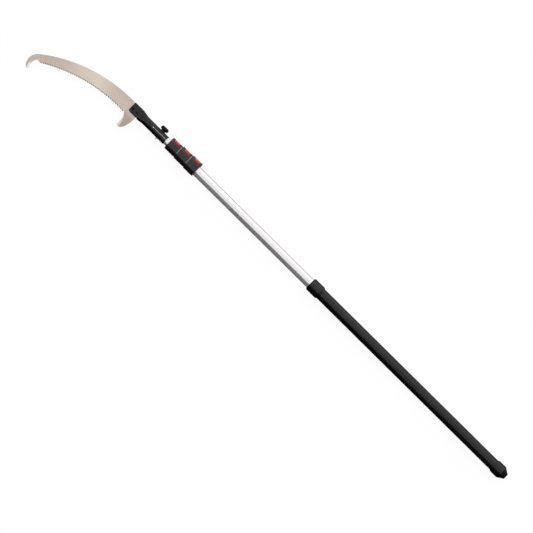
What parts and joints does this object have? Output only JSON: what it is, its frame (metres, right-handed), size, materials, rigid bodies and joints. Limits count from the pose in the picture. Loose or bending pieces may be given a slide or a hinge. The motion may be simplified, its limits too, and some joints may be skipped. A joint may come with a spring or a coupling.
{
  "type": "telescoping pole saw",
  "caption": "Telescoping pole saw: nested oval tubes with flip-lever clamp collars, a rubber grip, and a curved hooked pruning blade in a clamped socket.",
  "frame": {"origin": "pole axis at the flat end face of the butt, pole collapsed", "axes": "+X along the pole towards the blade's tip, +Y to the side the saw teeth face, +Z square to the blade"},
  "size_m": [2.5342, 0.2231, 0.047],
  "materials": {
    "tube_aluminium": "drawn, lightly anodised",
    "ring_aluminium": "machined",
    "blade_steel": "satin, warm nickel tone",
    "collar_plastic": "moulded, fine texture",
    "socket_plastic": "moulded, fine texture",
    "cap_plastic": "moulded, satin",
    "knob_plastic": "moulded, semi-gloss",
    "grip_rubber": "soft matte",
    "lever_red": "moulded, semi-gloss",
    "guide_plastic": "moulded",
    "dark_steel": "black oxide",
    "bright_steel": "zinc plated"
  },
  "bodies": {
    "outer_section": {"outer_tube": "tube_aluminium", "end_cap": "cap_plastic", "butt_plug": "guide_plastic", "end_cap_screws": "dark_steel", "grip_sleeve": "grip_rubber", "lower_collar": "collar_plastic", "lower_lever_pin": "bright_steel", "lower_shoe": "guide_plastic", "lower_collar_screws": "dark_steel"},
    "second_section": {"second_tube": "tube_aluminium", "second_guide": "guide_plastic", "middle_ring": "ring_aluminium", "middle_collar": "collar_plastic", "middle_lever_pin": "bright_steel", "middle_shoe": "guide_plastic", "middle_collar_screws": "dark_steel"},
    "third_section": {"third_tube": "tube_aluminium", "third_guide": "guide_plastic", "upper_ring": "ring_aluminium", "upper_collar": "collar_plastic", "upper_lever_pin": "bright_steel", "upper_shoe": "guide_plastic", "upper_collar_screws": "dark_steel"},
    "head_section": {"inner_tube": "tube_aluminium", "inner_guide": "guide_plastic", "blade_socket": "socket_plastic", "clamp_nut": "bright_steel", "blade": "blade_steel", "blade_bolts": "dark_steel", "blade_nuts": "dark_steel"},
    "lower_lever_arm": {"lower_lever": "lever_red"},
    "middle_lever_arm": {"middle_lever": "lever_red"},
    "upper_lever_arm": {"upper_lever": "lever_red"},
    "clamp_follower": {"clamp_washer": "dark_steel"},
    "clamp_screw": {"clamp_knob": "knob_plastic", "clamp_stud": "bright_steel"}
  },
  "joints": [
    {"name": "second_extend", "type": "slide", "parent": "outer_section", "child": "second_section", "axis": [1, 0, 0], "range_m": [0, 1.3]},
    {"name": "third_extend", "type": "slide", "parent": "second_section", "child": "third_section", "axis": [1, 0, 0], "range_m": [0, 1.3]},
    {"name": "head_extend", "type": "slide", "parent": "third_section", "child": "head_section", "axis": [1, 0, 0], "range_m": [0, 1.3]},
    {"name": "lower_lever_flip", "type": "hinge", "parent": "outer_section", "child": "lower_lever_arm", "pos_m": [1.7738, -0.0317, 0], "axis": [0, 0, 1], "range_deg": [0, 90]},
    {"name": "middle_lever_flip", "type": "hinge", "parent": "second_section", "child": "middle_lever_arm", "pos_m": [1.8273, -0.0297, 0], "axis": [0, 0, 1], "range_deg": [0, 90]},
    {"name": "upper_lever_flip", "type": "hinge", "parent": "third_section", "child": "upper_lever_arm", "pos_m": [1.8808, -0.0267, 0], "axis": [0, 0, 1], "range_deg": [0, 90]},
    {"name": "clamp_back_off", "type": "slide", "parent": "head_section", "child": "clamp_follower", "axis": [0, -1, 0], "range_m": [0, 0.003]},
    {"name": "clamp_turn", "type": "hinge", "parent": "clamp_follower", "child": "clamp_screw", "pos_m": [1.946, 0, 0], "axis": [0, -1, 0], "range_deg": [0, 1081]}
  ],
  "couplings": [
    {"joint": "clamp_turn", "follows": "clamp_back_off", "rad_per_m": 6283.2}
  ]
}
